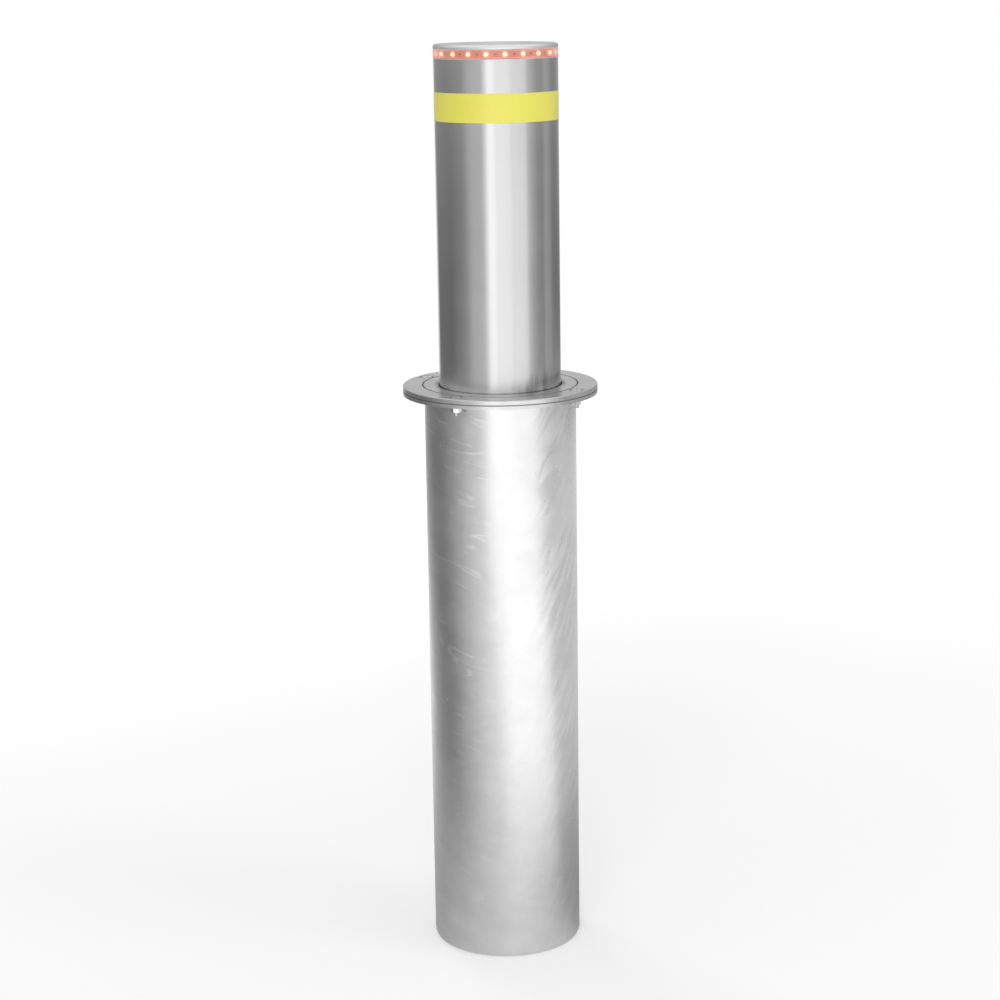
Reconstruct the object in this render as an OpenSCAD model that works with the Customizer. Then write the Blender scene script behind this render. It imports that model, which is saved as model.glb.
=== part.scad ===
// Hydraulic rising bollard with its in-ground casing, drawn with the column up.
// Origin at the middle of the casing's underside, +Z up, the front faces -Y, millimetres.

/* [Column] */
// Outer diameter of the rising column
column_d = 219; // [210:0.5:221]
// Wall of the column tube
column_wall = 6; // [4:0.5:8]
// Height of the column's top above the ground ring when it is up
rise = 600; // [500:10:700]
// Thickness of the top cap's plate
cap_t = 7; // [6:0.5:10]
// Rounding of the cap's upper edge
cap_edge = 5; // [1:0.5:5]
// Thickness of the plate that the power unit hangs from
head_plate_t = 12; // [10:1:16]
// Distance from the top of the column to the head plate
head_drop = 40; // [38:1:60]

/* [Light ring] */
// Height of the clear ring
lens_h = 15.5; // [14:0.5:20]
// Thickness of the gasket above and below the clear ring
gasket_t = 1; // [0.5:0.5:2]
// Number of diodes round the ring
led_count = 20; // [12:1:24]
// Width and height of a diode
led_w = 5; // [3:0.5:6]
// How far a diode stands off its strip
led_t = 1.8; // [1:0.1:2]
// Width of the diode strip
strip_h = 10; // [8:0.5:12]
// Thickness of the diode strip
strip_t = 0.5; // [0.3:0.1:0.8]

/* [Reflective band] */
// Distance from the top of the column to the band
band_drop = 81; // [50:1:150]
// Width of the band
band_w = 50; // [25:1:100]
// Thickness of the band, which lies flush in a turned recess
band_t = 0.5; // [0.3:0.1:1]

/* [Casing] */
// Radial room between the column and the casing tube
annulus = 22; // [21:0.5:24]
// Wall of the casing tube
casing_wall = 5; // [4:0.5:6]
// Depth of the casing from the top of the ground ring to its underside
casing_depth = 1050; // [950:10:1200]
// Thickness of the base plate
base_t = 8; // [6:1:12]
// How far the base plate is set in from the outside of the tube
base_inset = 3; // [2:0.5:4]
// Radius of the drain hole in the base plate
drain_r = 25; // [15:1:28]
// Distance of the drain hole from the axis
drain_at = 86; // [84:1:90]

/* [Ground ring] */
// Width of the ground ring outside the casing tube
flange_w = 38.5; // [34:0.5:60]
// Thickness of the ring welded to the casing
flange_t = 8; // [6:1:10]
// Thickness of the ring bolted on top
cover_t = 8; // [8:1:12]
// Rounding of the ground ring's upper edge
cover_edge = 1.5; // [0.5:0.5:2]
// Distance of the bolts through both rings from the casing tube
flange_bolt_out = 18.5; // [17:0.5:22]
// Number of bolts through both rings
flange_bolts = 4; // [4:1:8]
// Diameter of those bolts
flange_bolt_d = 10; // [8:1:10]
// Width of the inner ring that holds the wiper
wiper_ring_w = 27.5; // [25:0.5:29]
// Thickness of the inner ring
wiper_ring_t = 4; // [3:0.5:5]
// Gap between the column and the inner ring
wiper_ring_gap = 2; // [1:0.5:3]
// Number of screws in the inner ring
wiper_screws = 8; // [6:1:12]
// Diameter of those screws
wiper_screw_d = 5; // [4:0.5:5]

/* [Wiper and upper guide] */
// Radial thickness of the rubber wiper
wiper_w = 6; // [5:0.5:7]
// Height of the wiper
wiper_h = 10; // [8:0.5:14]
// Height of the upper guide
guide_h = 60; // [50:5:100]
// Diameter of the screws that hold the upper guide
guide_screw_d = 6; // [5:1:6]

/* [Rails and shoes] */
// Width of a guide rail
rail_w = 20; // [14:1:24]
// Thickness of a guide rail
rail_t = 8; // [6:1:9]
// Height at which the guide rails begin
rail_z = 60; // [40:5:80]
// Width of a guide shoe
shoe_w = 50; // [40:2:60]
// Height of a guide shoe
shoe_h = 60; // [50:5:80]
// Height of the shoes above the column's lower end
shoe_lift = 8; // [6:1:20]
// Diameter of the screws that hold the shoes
shoe_screw_d = 6; // [4:1:6]

/* [Landing buffers] */
// Height of the posts that carry the buffers
buffer_post_h = 45.4; // [20:0.2:80]
// Diameter of a rubber buffer
buffer_d = 26; // [20:1:30]
// Height of a rubber buffer
buffer_h = 36; // [20:1:40]

/* [Ram] */
// Bore of the ram
ram_bore = 50; // [46:1:54]
// Wall of the ram's barrel
ram_wall = 6; // [5:0.5:7]
// Diameter of the piston rod
rod_d = 30; // [26:1:32]
// Length of the piston
piston_l = 40; // [34:1:50]
// Length of the gland inside the barrel
gland_l = 40; // [34:1:50]
// Thickness of the gland's rim below the barrel
gland_rim = 12; // [10:1:16]
// Thickness of the ram's head
ram_head_t = 28; // [20:1:32]
// Width of the rod foot's flange outside its socket
foot_flange_w = 20; // [18:1:24]
// Thickness of the rod foot's flange
foot_t = 12; // [10:1:16]
// Height of the rod foot's socket above its flange
foot_socket_h = 40; // [30:1:50]
// Diameter of the pin through the rod foot
foot_pin_d = 10; // [8:1:12]

/* [Power unit] */
// Gap between the motor or the tank and the column's wall
unit_room = 5.5; // [4:0.5:8]
// Gap between the motor or the tank and the ram
unit_gap = 3; // [2:0.5:5]
// Length of the motor's ribbed housing
motor_l = 140; // [110:5:160]
// Length of the motor's end cap
motor_cap_l = 16; // [12:1:20]
// Height of the pump body
pump_h = 50; // [40:1:60]
// Side of the square pump body
pump_w = 46; // [44:1:50]
// Height of the valve block
valve_h = 64; // [58:1:80]
// Length of the oil tank
tank_l = 340; // [320:5:420]
// Wall of the oil tank
tank_wall = 2.5; // [2:0.5:4]
// Diameter of the oil pipes
pipe_d = 8; // [6:0.5:9]

/* [Cable inlet] */
// Outer diameter of the cable socket at the back of the casing
socket_d = 48; // [44:1:54]
// Wall of the cable socket
socket_wall = 4; // [3:0.5:5]
// Distance from the top of the ground ring to the cable socket
socket_drop = 150; // [130:5:250]
// How far the cable socket ends inside the ground ring's edge
socket_short = 4; // [2:1:10]

/* [Clearances] */
// Gap between pieces that are welded or pressed together
seat_gap = 0.15; // [0.1:0.05:0.2]
// Gap round a screw or bolt in its hole
bolt_gap = 0.2; // [0.15:0.05:0.3]
// Gap between the column and the wiper's lip
wiper_gap = 0.3; // [0.3:0.1:0.6]
// Gap between the column and the upper guide
guide_gap = 0.5; // [0.3:0.1:0.8]
// Gap between a shoe and the casing or its rail
shoe_gap = 0.6; // [0.4:0.1:1]
// Running gap of the piston and the rod
ram_gap = 0.05; // [0.03:0.01:0.08]
// Gap left at each end of the column's travel
stop_gap = 0.6; // [0.4:0.1:2]
// Visible joint between the ground ring and its inner ring
joint_gap = 0.6; // [0.3:0.1:1]

/* [Hidden] */
$fn = 96;

steel = "#9a9da0";
zinc = "#b9bcbf";
stainless = "#a9abad";
bright = "#d9dadb";
rubber = "#2b2b2c";
nylon = "#2e2f31";

// Cutters run past the faces they cut by this much
over = 1;
// Points in a rounded corner
arc_steps = 8;

// Heights, from the underside of the casing up
landing_z = base_t + buffer_post_h + buffer_h + stop_gap;
column_z = landing_z + rise;
casing_flange_top = casing_depth - cover_t;
casing_flange_z = casing_flange_top - flange_t;
wiper_ring_z = casing_depth - wiper_ring_t;
wiper_z = wiper_ring_z - wiper_h;
guide_z = casing_flange_top - guide_h;
column_top = casing_depth + rise;
cap_z = column_top - cap_t;
lens_z = cap_z - gasket_t - lens_h;
column_tube_top = lens_z - gasket_t;
head_plate_top = column_top - head_drop;
head_plate_z = head_plate_top - head_plate_t;
band_z = column_top - band_drop - band_w;

// Radii
column_r = column_d / 2;
column_in = column_r - column_wall;
casing_in = column_r + annulus;
casing_r = casing_in + casing_wall;
flange_r = casing_r + flange_w;
flange_bolt_r = casing_r + flange_bolt_out;
base_r = casing_r - base_inset;
wiper_in = column_r + wiper_gap;
wiper_out = wiper_in + wiper_w;
cover_in = wiper_out + seat_gap;
wiper_ring_in = column_r + wiper_ring_gap;
wiper_ring_r = wiper_ring_in + wiper_ring_w;
guide_in = column_r + guide_gap;
guide_out = casing_in - seat_gap;

// Countersunk screws have 90 degree heads twice as wide as the shank
csk_head = 2;
// Shares of the shank diameter that standard fasteners keep
hex_af = 1.6;
hex_head_h = 0.64;
nut_h = 0.84;
washer_d = 2.1;
washer_h = 0.2;
key_af = 0.6;
key_depth = 0.28;
pan_head = 1.8;
pan_head_h = 0.5;
thread_end = 0.6;

flange_bolt_angle = -30;
flange_bolt_l = cover_t + flange_t + flange_bolt_d * (washer_h + nut_h + thread_end);
flange_nut_top = casing_flange_z - flange_bolt_d * washer_h;
wiper_screw_edge = 6.5;
wiper_screw_r = wiper_ring_r - wiper_screw_edge;
wiper_screw_short = 0.5;
wiper_screw_l = cover_t - wiper_screw_short;
guide_screw_count = 4;
guide_screw_edge = 9;
guide_screw_r = cover_in + guide_screw_edge;
guide_screw_l = 24;
guide_seat_h = wiper_h - (cover_t - wiper_ring_t);

// Grease grooves in the upper guide's bore, counted from its lower face
grease_rows = [15, 33];
grease_h = 6;
grease_depth = 2;

// The wiper's lip leans in by this much over this height
lip_lean = 2.4;
lip_h = 3;

// The rails stand at the sides, where the column's forks straddle them
rail_angles = [0, 180];
rail_out = sqrt(pow(casing_in, 2) - pow(rail_w / 2, 2)) - seat_gap;
rail_in = rail_out - rail_t;
rail_end_gap = 6;
rail_top = guide_z - rail_end_gap;

// The shoes stand between the rails
shoe_angles = [45, 135, 225, 315];
shoe_out = casing_in - shoe_gap;
shoe_in = column_r + seat_gap;
shoe_z = column_z + shoe_lift;
shoe_screw_inset = 17;
shoe_screw_rows = [shoe_screw_inset, shoe_h - shoe_screw_inset];
shoe_screw_sink = 4;
shoe_head_r = shoe_screw_d * pan_head / 2;
shoe_seat_at = shoe_out - shoe_screw_sink - shoe_screw_d;
fork_seat_at = rail_in - shoe_gap - shoe_screw_d;
fork_cheek = 14;
fork_w = rail_w + 2 * fork_cheek;

// The column lands on three buffers
buffer_angles = [30, 150, 270];
buffer_z = base_t + buffer_post_h;
buffer_r = buffer_d / 2;
buffer_proud = 3;
buffer_at = column_r - buffer_r + buffer_proud;
buffer_post_step = 2.6;
buffer_waist = 1.8;
buffer_collar = 7.2;
buffer_taper = 7.2;
bottom_ring_w = 18;
bottom_ring_t = 12;

// The ram hangs from the head plate and its rod stands on the base
ram_r = ram_bore / 2;
ram_out = ram_r + ram_wall;
ram_head_z = head_plate_z - ram_head_t;
ram_spigot = 10;
piston_nut_d = 20;
ram_end_gap = 4;
ram_end_room = piston_nut_d * (nut_h + thread_end) + ram_end_gap;
piston_top = ram_head_z - ram_spigot - ram_end_room - rise;
piston_z = piston_top - piston_l;
gland_top = piston_z - stop_gap;
barrel_z = gland_top - gland_l;
gland_z = barrel_z - gland_rim;
piston_r = ram_r - ram_gap;
rod_r = rod_d / 2;
seal_w = 5;
seal_depth = 3.5;
seal_inset = 11.2;
seal_rows = [seal_inset, piston_l - seal_inset];
rod_wiper_h = 6;
rod_wiper_w = 5;
foot_top = base_t + foot_t;
socket_top = foot_top + foot_socket_h;
foot_floor = 4;
foot_socket_wall = 11;
rod_z = base_t + foot_floor;
foot_socket_r = rod_r + foot_socket_wall;
foot_pin_z = (foot_top + socket_top) / 2;
foot_bolt_d = 10;
foot_bolts = 4;
foot_bolt_gap = 1.8;
foot_bolt_r = foot_socket_r + foot_bolt_d * hex_af / cos(30) / 2 + foot_bolt_gap;
foot_r = foot_socket_r + foot_flange_w;
foot_bolt_short = 2;
foot_bolt_l = foot_t + base_t - foot_bolt_short;
head_rim = 1.5;
ram_head_r = ram_out + head_rim;
head_bolt_d = 6;
head_bolts = 4;
head_bolt_r = ram_r;
head_bolt_grip = 16;
head_bolt_l = head_plate_t + head_bolt_grip;

// The cap stands on the head plate by a hub ring and four bosses
hub_gap = 3;
hub_wall = 7;
hub_out = column_in - hub_gap;
hub_in = hub_out - hub_wall;
boss_r = 12;
boss_at = 74;
boss_rib_t = 5;
boss_rib_h = 20;
cap_screw_d = 10;
cap_screw_short = 2;
cap_screw_l = head_drop + head_plate_t - cap_screw_short;
cap_bolts = 4;
strip_in = hub_out + seat_gap;
led_in = strip_in + strip_t + seat_gap;

// The power unit hangs beside the ram, with the motor and the tank as wide as the column lets them be
motor_d = column_in - unit_room - ram_out - unit_gap;
tank_d = motor_d;
unit_at = ram_out + unit_gap + motor_d / 2;
motor_z = head_plate_z - motor_cap_l - motor_l;
pump_z = motor_z - pump_h;
valve_z = pump_z - valve_h;
valve_l = 54;
valve_w = 44;
groove_count = 20;
groove_r = 2.2;
groove_end = 11.2;
motor_cap_inset = 2;
pump_flange_t = 10;
pump_flange_inset = 4;
unit_screw_d = 6;
unit_screw_edge = 9;
unit_screw_at = motor_d / 2 - unit_screw_edge;
unit_screw_short = 6;
unit_screw_l = head_plate_t + motor_cap_l - unit_screw_short;
coil_d = 34;
coil_h = 36;
coil_gap = 2;
valve_stem_d = 14;
valve_stem_l = 12;
valve_stem_end = 4;
relief_d = 16;
relief_hex_h = 10;
relief_stem_r = 6;
relief_at = unit_at + valve_l / 4;
tank_at = ram_out + unit_gap + tank_d / 2;
tank_z = head_plate_z - tank_l;
filler_d = 26;
filler_h = 12;
filler_rim = 3;
filler_wall = 4;
filler_dip = 6;
pipe_r = pipe_d / 2;
pipe_gap = 0.3;
elbow_rim = 1.5;
elbow_r = pipe_r + elbow_rim;
port_inset = 18;
suction_z = valve_z + port_inset;
return_z = valve_z + valve_h - port_inset;
pressure_out = 26;
pressure_y = -motor_d / 2 - pressure_out;
pressure_shift = 14;
pressure_in = unit_at - pressure_shift;
pressure_z = valve_z + valve_h / 2;
pressure_top = ram_head_z + ram_head_t / 2;

// The cable socket stands on the casing's back wall, round a slightly smaller hole
socket_r = socket_d / 2;
socket_in = socket_r - socket_wall;
socket_lip = 2;
socket_z = casing_depth - socket_drop;
socket_end = flange_r - socket_short;

// Places children at an angle from +X and a radius from the axis
module around(angle, radius, z = 0) {
    rotate([0, 0, angle]) translate([radius, 0, z]) children();
}

// Places children a number of times round the axis, evenly from the first angle on
module circle_of(count, first, radius, z = 0) {
    for (i = [0 : count - 1]) around(first + 360 / count * i, radius, z) children();
}

// The same, with the first half a step past +X
module half_step_circle(count, radius, z = 0) {
    circle_of(count, 180 / count, radius, z) children();
}

// The places of the bolts through both rings
module flange_bolt_circle(z) {
    circle_of(flange_bolts, flange_bolt_angle, flange_bolt_r, z) children();
}

// A plain ring standing on z = 0
module ring(outer, inner, height) {
    rotate_extrude() translate([inner, 0]) square([outer - inner, height]);
}

// A disc or ring whose upper outer edge is rounded
module rounded_ring(outer, inner, height, edge) {
    rotate_extrude() polygon(concat(
        [[inner, 0], [outer, 0]],
        [for (i = [0 : arc_steps])
            [outer - edge + edge * cos(90 * i / arc_steps), height - edge + edge * sin(90 * i / arc_steps)]],
        [[inner, height]]
    ));
}

// A countersunk screw with a hexagon socket, its flat top at z = 0
module countersunk(d, length) {
    head_r = d * csk_head / 2;
    difference() {
        union() {
            translate([0, 0, d / 2 - head_r]) cylinder(r1 = d / 2, r2 = head_r, h = head_r - d / 2);
            translate([0, 0, -length]) cylinder(d = d, h = length - (head_r - d / 2));
        }
        translate([0, 0, -d * key_depth]) cylinder(d = d * key_af / cos(30), h = d, $fn = 6);
    }
}

// The seat that such a screw sits in, with its clearance
module countersunk_hole(d, length) {
    head_r = d * csk_head / 2;
    hole_r = d / 2 + bolt_gap;
    cone_h = head_r + over + bolt_gap - d / 2;
    translate([0, 0, over - cone_h]) cylinder(r1 = hole_r, r2 = hole_r + cone_h, h = cone_h);
    translate([0, 0, -length]) cylinder(r = hole_r, h = length);
}

// A hexagon of the given width over its flats, with its corners chamfered at the top
module hex_body(af, height) {
    corner = af / cos(30) / 2;
    chamfer = corner - af / 2;
    intersection() {
        cylinder(r = corner, h = height, $fn = 6);
        rotate_extrude() polygon([
            [0, 0], [corner + over, 0], [corner + over, height - chamfer],
            [af / 2, height], [0, height]
        ]);
    }
}

// A hexagon head bolt, the underside of its head at z = 0
module hex_bolt(d, length) {
    hex_body(d * hex_af, d * hex_head_h);
    translate([0, 0, -length]) cylinder(d = d, h = length + d * hex_head_h / 2);
}

// A hexagon nut hanging below z = 0
module hex_nut(d) {
    difference() {
        mirror([0, 0, 1]) hex_body(d * hex_af, d * nut_h);
        translate([0, 0, -d * nut_h - over]) cylinder(r = d / 2 + bolt_gap, h = d * nut_h + 2 * over);
    }
}

// The casing tube, open at the top, with a hole for the supply cable at the back
module casing_tube() {
    color(zinc) difference() {
        translate([0, 0, base_t]) ring(casing_r, casing_in, casing_flange_top - base_t);
        translate([0, 0, socket_z]) rotate([-90, 0, 0])
            cylinder(r = socket_in - socket_lip, h = casing_r + over);
    }
}

// The plate that closes the casing, drilled for the drain and the rod foot
module base_plate() {
    color(zinc) difference() {
        cylinder(r = base_r, h = base_t);
        translate([0, drain_at, -over]) cylinder(r = drain_r, h = base_t + 2 * over);
        half_step_circle(foot_bolts, foot_bolt_r, -over)
            cylinder(r = foot_bolt_d / 2 + bolt_gap, h = base_t + 2 * over);
    }
}

// The ring welded round the top of the casing tube
module casing_flange() {
    color(zinc) difference() {
        translate([0, 0, casing_flange_z]) ring(flange_r, casing_r + seat_gap, flange_t);
        flange_bolt_circle(casing_flange_z - over)
            cylinder(r = flange_bolt_d / 2 + bolt_gap, h = flange_t + 2 * over);
    }
}

// The removable ground ring, with a recess for the inner ring
module cover_flange() {
    color(zinc) difference() {
        translate([0, 0, casing_flange_top]) rounded_ring(flange_r, cover_in, cover_t, cover_edge);
        translate([0, 0, wiper_ring_z]) cylinder(r = wiper_ring_r + joint_gap, h = wiper_ring_t + over);
        flange_bolt_circle(casing_depth) countersunk_hole(flange_bolt_d, cover_t + over);
        half_step_circle(wiper_screws, wiper_screw_r, casing_flange_top - over)
            cylinder(r = wiper_screw_d / 2 + bolt_gap, h = cover_t + over);
        circle_of(guide_screw_count, 0, guide_screw_r, wiper_ring_z)
            countersunk_hole(guide_screw_d, cover_t);
    }
}

// The flush inner ring that clamps the wiper
module wiper_ring() {
    color(zinc) difference() {
        translate([0, 0, wiper_ring_z]) ring(wiper_ring_r, wiper_ring_in, wiper_ring_t);
        half_step_circle(wiper_screws, wiper_screw_r, casing_depth)
            countersunk_hole(wiper_screw_d, wiper_ring_t + over);
    }
}

module wiper_ring_screws() {
    color(bright) half_step_circle(wiper_screws, wiper_screw_r, casing_depth)
        countersunk(wiper_screw_d, wiper_screw_l);
}

// The rubber wiper, with a thin lip that leans towards the column
module wiper_seal() {
    color(rubber) translate([0, 0, wiper_z]) rotate_extrude() polygon([
        [wiper_in + lip_lean, 0], [wiper_out, 0], [wiper_out, wiper_h],
        [wiper_in + lip_lean, wiper_h], [wiper_in, wiper_h - lip_h], [wiper_in + lip_lean / 2, lip_h]
    ]);
}

// The upper guide, a bush with a seat for the wiper and two grease grooves
module upper_guide() {
    color(nylon) difference() {
        translate([0, 0, guide_z]) ring(guide_out, guide_in, guide_h);
        translate([0, 0, casing_flange_top - guide_seat_h]) cylinder(r = cover_in, h = guide_seat_h + over);
        for (row = grease_rows)
            translate([0, 0, guide_z + row]) cylinder(r = guide_in + grease_depth, h = grease_h);
        circle_of(guide_screw_count, 0, guide_screw_r, wiper_ring_z - guide_screw_l - over)
            cylinder(r = guide_screw_d / 2 + bolt_gap, h = guide_screw_l + over);
    }
}

module upper_guide_screws() {
    color(bright) circle_of(guide_screw_count, 0, guide_screw_r, wiper_ring_z)
        countersunk(guide_screw_d, guide_screw_l);
}

module flange_screws() {
    color(bright) flange_bolt_circle(casing_depth) countersunk(flange_bolt_d, flange_bolt_l);
}

module flange_washers() {
    color(bright) flange_bolt_circle(flange_nut_top)
        ring(flange_bolt_d * washer_d / 2, flange_bolt_d / 2 + bolt_gap, flange_bolt_d * washer_h);
}

module flange_nuts() {
    color(bright) flange_bolt_circle(flange_nut_top) hex_nut(flange_bolt_d);
}

// Two flat bars welded to the casing wall stop the column from turning
module guide_rails() {
    color(steel) for (angle = rail_angles)
        around(angle, rail_in, rail_z) translate([0, -rail_w / 2, 0])
            cube([rail_t, rail_w, rail_top - rail_z]);
}

// Posts that carry the landing buffers
module buffer_posts() {
    color(zinc) for (angle = buffer_angles)
        around(angle, buffer_at, base_t) cylinder(r = buffer_r - buffer_post_step, h = buffer_post_h);
}

// Rubber buffers that the column lands on, waisted in the middle
module landing_buffers() {
    waist = buffer_r - buffer_waist;
    narrow_z = buffer_collar + buffer_taper;
    color(rubber) for (angle = buffer_angles)
        around(angle, buffer_at, buffer_z) rotate_extrude() polygon([
            [0, 0], [buffer_r, 0], [buffer_r, buffer_collar], [waist, narrow_z],
            [waist, buffer_h - narrow_z], [buffer_r, buffer_h - buffer_collar],
            [buffer_r, buffer_h], [0, buffer_h]
        ]);
}

// The flanged socket that holds the lower end of the piston rod
module rod_foot() {
    color(steel) difference() {
        union() {
            translate([0, 0, base_t]) cylinder(r = foot_r, h = foot_t);
            translate([0, 0, base_t]) cylinder(r = foot_socket_r, h = foot_t + foot_socket_h);
        }
        translate([0, 0, rod_z]) cylinder(r = rod_r + seat_gap, h = foot_t + foot_socket_h);
        translate([0, 0, foot_pin_z]) rotate([0, 90, 0])
            cylinder(r = foot_pin_d / 2 + seat_gap, h = 2 * foot_r, center = true);
        half_step_circle(foot_bolts, foot_bolt_r)
            cylinder(r = foot_bolt_d / 2 + bolt_gap, h = foot_top + over);
    }
}

module rod_foot_bolts() {
    color(bright) half_step_circle(foot_bolts, foot_bolt_r, foot_top)
        hex_bolt(foot_bolt_d, foot_bolt_l);
}

module rod_pin() {
    pin_proud = 3;
    color(bright) translate([0, 0, foot_pin_z]) rotate([0, 90, 0])
        cylinder(d = foot_pin_d, h = 2 * (foot_socket_r + pin_proud), center = true);
}

// The chromed rod, with a spigot through the piston
module piston_rod() {
    spigot_top = piston_top + piston_nut_d * (nut_h + thread_end);
    color(bright) difference() {
        union() {
            translate([0, 0, rod_z]) cylinder(r = rod_r, h = piston_z - rod_z);
            translate([0, 0, piston_z - over]) cylinder(d = piston_nut_d, h = spigot_top - piston_z + over);
        }
        translate([0, 0, foot_pin_z]) rotate([0, 90, 0])
            cylinder(r = foot_pin_d / 2 + seat_gap, h = rod_d * 2, center = true);
    }
}

module piston() {
    color(steel) difference() {
        translate([0, 0, piston_z]) ring(piston_r, piston_nut_d / 2 + seat_gap, piston_l);
        for (row = seal_rows)
            translate([0, 0, piston_z + row - seal_w / 2])
                ring(piston_r + over, piston_r - seal_depth, seal_w);
    }
}

module piston_seals() {
    color(rubber) for (row = seal_rows)
        translate([0, 0, piston_z + row - seal_w / 2 + seat_gap])
            ring(piston_r, piston_r - seal_depth + seat_gap, seal_w - 2 * seat_gap);
}

module piston_nut() {
    color(bright) translate([0, 0, piston_top + piston_nut_d * nut_h]) hex_nut(piston_nut_d);
}

// A square-cut conduit socket welded on to the casing's back wall
module cable_socket() {
    socket_start = casing_r + seat_gap;
    color(zinc) translate([0, socket_start, socket_z]) rotate([-90, 0, 0])
        ring(socket_r, socket_in, socket_end - socket_start);
}

// The column tube, with a turned recess for the band and holes for the shoe screws
module column_tube() {
    color(stainless) difference() {
        translate([0, 0, column_z]) ring(column_r, column_in, column_tube_top - column_z);
        translate([0, 0, band_z]) ring(column_r + over, column_r - band_t - seat_gap, band_w);
        for (angle = concat(shoe_angles, rail_angles))
            for (row = shoe_screw_rows)
                around(angle, column_in - over, shoe_z + row) rotate([0, 90, 0])
                    cylinder(r = shoe_screw_d / 2 + bolt_gap, h = column_wall + 2 * over);
    }
}

// The cap, which stands on the head plate by its hub ring and bosses
module top_cap() {
    hub_h = cap_z - head_plate_top;
    color(stainless) difference() {
        union() {
            translate([0, 0, cap_z]) rounded_ring(column_r, 0, cap_t, cap_edge);
            translate([0, 0, head_plate_top]) ring(hub_out, hub_in, hub_h + over);
            half_step_circle(cap_bolts, boss_at, head_plate_top) {
                cylinder(r = boss_r, h = hub_h + over);
                translate([0, -boss_rib_t / 2, hub_h - boss_rib_h])
                    cube([hub_in - boss_at + over, boss_rib_t, boss_rib_h + over]);
            }
        }
        half_step_circle(cap_bolts, boss_at, column_top)
            countersunk_hole(cap_screw_d, head_drop + over);
    }
}

module cap_screws() {
    color(bright) half_step_circle(cap_bolts, boss_at, column_top)
        countersunk(cap_screw_d, cap_screw_l);
}

// The plate welded inside the column that everything hangs from
module head_plate() {
    color(steel) difference() {
        translate([0, 0, head_plate_z]) cylinder(r = column_in - seat_gap, h = head_plate_t);
        half_step_circle(cap_bolts, boss_at, head_plate_z - over)
            cylinder(r = cap_screw_d / 2 + bolt_gap, h = head_plate_t + 2 * over);
        half_step_circle(head_bolts, head_bolt_r, head_plate_z - over)
            cylinder(r = head_bolt_d / 2 + bolt_gap, h = head_plate_t + 2 * over);
        for (side = [-1, 1])
            translate([unit_at, side * unit_screw_at, head_plate_z - over])
                cylinder(r = unit_screw_d / 2 + bolt_gap, h = head_plate_t + 2 * over);
        translate([-tank_at, 0, head_plate_z - over])
            cylinder(r = filler_d / 2 + seat_gap, h = head_plate_t + 2 * over);
    }
}

module light_ring() {
    color("#f2f2f0") translate([0, 0, lens_z]) ring(column_r, column_in, lens_h);
}

module lens_gaskets() {
    color(rubber) for (z = [column_tube_top, lens_z + lens_h])
        translate([0, 0, z]) ring(column_r - seat_gap, column_in, gasket_t);
}

module led_strip() {
    color("#c8574d") translate([0, 0, lens_z + (lens_h - strip_h) / 2])
        ring(strip_in + strip_t, strip_in, strip_h);
}

module leds() {
    color("#fff4c8") rotate([0, 0, -90])
        half_step_circle(led_count, led_in, lens_z + (lens_h - led_w) / 2)
            translate([0, -led_w / 2, 0]) cube([led_t, led_w, led_w]);
}

module reflective_band() {
    color("#e4df5e") translate([0, 0, band_z + seat_gap])
        ring(column_r, column_r - band_t, band_w - 2 * seat_gap);
}

// The ring welded inside the column's lower end, which meets the buffers
module bottom_ring() {
    color(steel) translate([0, 0, column_z])
        ring(column_in - seat_gap, column_in - bottom_ring_w, bottom_ring_t);
}

// A block between the column and the casing wall, cut to both radii
module shoe_block(angle, width, outer) {
    around(angle, 0, shoe_z) intersection() {
        ring(outer, shoe_in, shoe_h);
        translate([0, -width / 2, -over]) cube([outer + over, width, shoe_h + 2 * over]);
    }
}

// Screw holes through a shoe, with room for the heads from seat_at outwards
module shoe_screw_holes(angle, seat_at) {
    for (row = shoe_screw_rows)
        around(angle, 0, shoe_z + row) rotate([0, 90, 0]) {
            cylinder(r = shoe_screw_d / 2 + bolt_gap, h = shoe_out + over);
            translate([0, 0, seat_at]) cylinder(r = shoe_head_r + bolt_gap, h = casing_r);
        }
}

// Plain shoes that keep the column's foot in the middle of the casing
module guide_shoes() {
    color(nylon) for (angle = shoe_angles) difference() {
        shoe_block(angle, shoe_w, shoe_out);
        shoe_screw_holes(angle, shoe_seat_at);
    }
}

// Slotted shoes that straddle the rails
module rail_forks() {
    color(nylon) for (angle = rail_angles) difference() {
        shoe_block(angle, fork_w, shoe_out);
        around(angle, rail_in - shoe_gap, shoe_z - over) translate([0, -rail_w / 2 - shoe_gap, 0])
            cube([casing_r, rail_w + 2 * shoe_gap, shoe_h + 2 * over]);
        shoe_screw_holes(angle, fork_seat_at);
    }
}

// Screws from the shoes at one angle into the column's wall
module shoe_screw_pair(angle, seat_at) {
    shank_in = column_in + over;
    for (row = shoe_screw_rows)
        around(angle, 0, shoe_z + row) rotate([0, 90, 0]) {
            translate([0, 0, shank_in]) cylinder(d = shoe_screw_d, h = seat_at - shank_in + over);
            translate([0, 0, seat_at]) cylinder(r = shoe_head_r, h = shoe_screw_d * pan_head_h);
        }
}

module shoe_screws() {
    color(bright) {
        for (angle = shoe_angles) shoe_screw_pair(angle, shoe_seat_at);
        for (angle = rail_angles) shoe_screw_pair(angle, fork_seat_at);
    }
}

module ram_barrel() {
    color(steel) translate([0, 0, barrel_z]) ring(ram_out, ram_r, ram_head_z - barrel_z);
}

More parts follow.
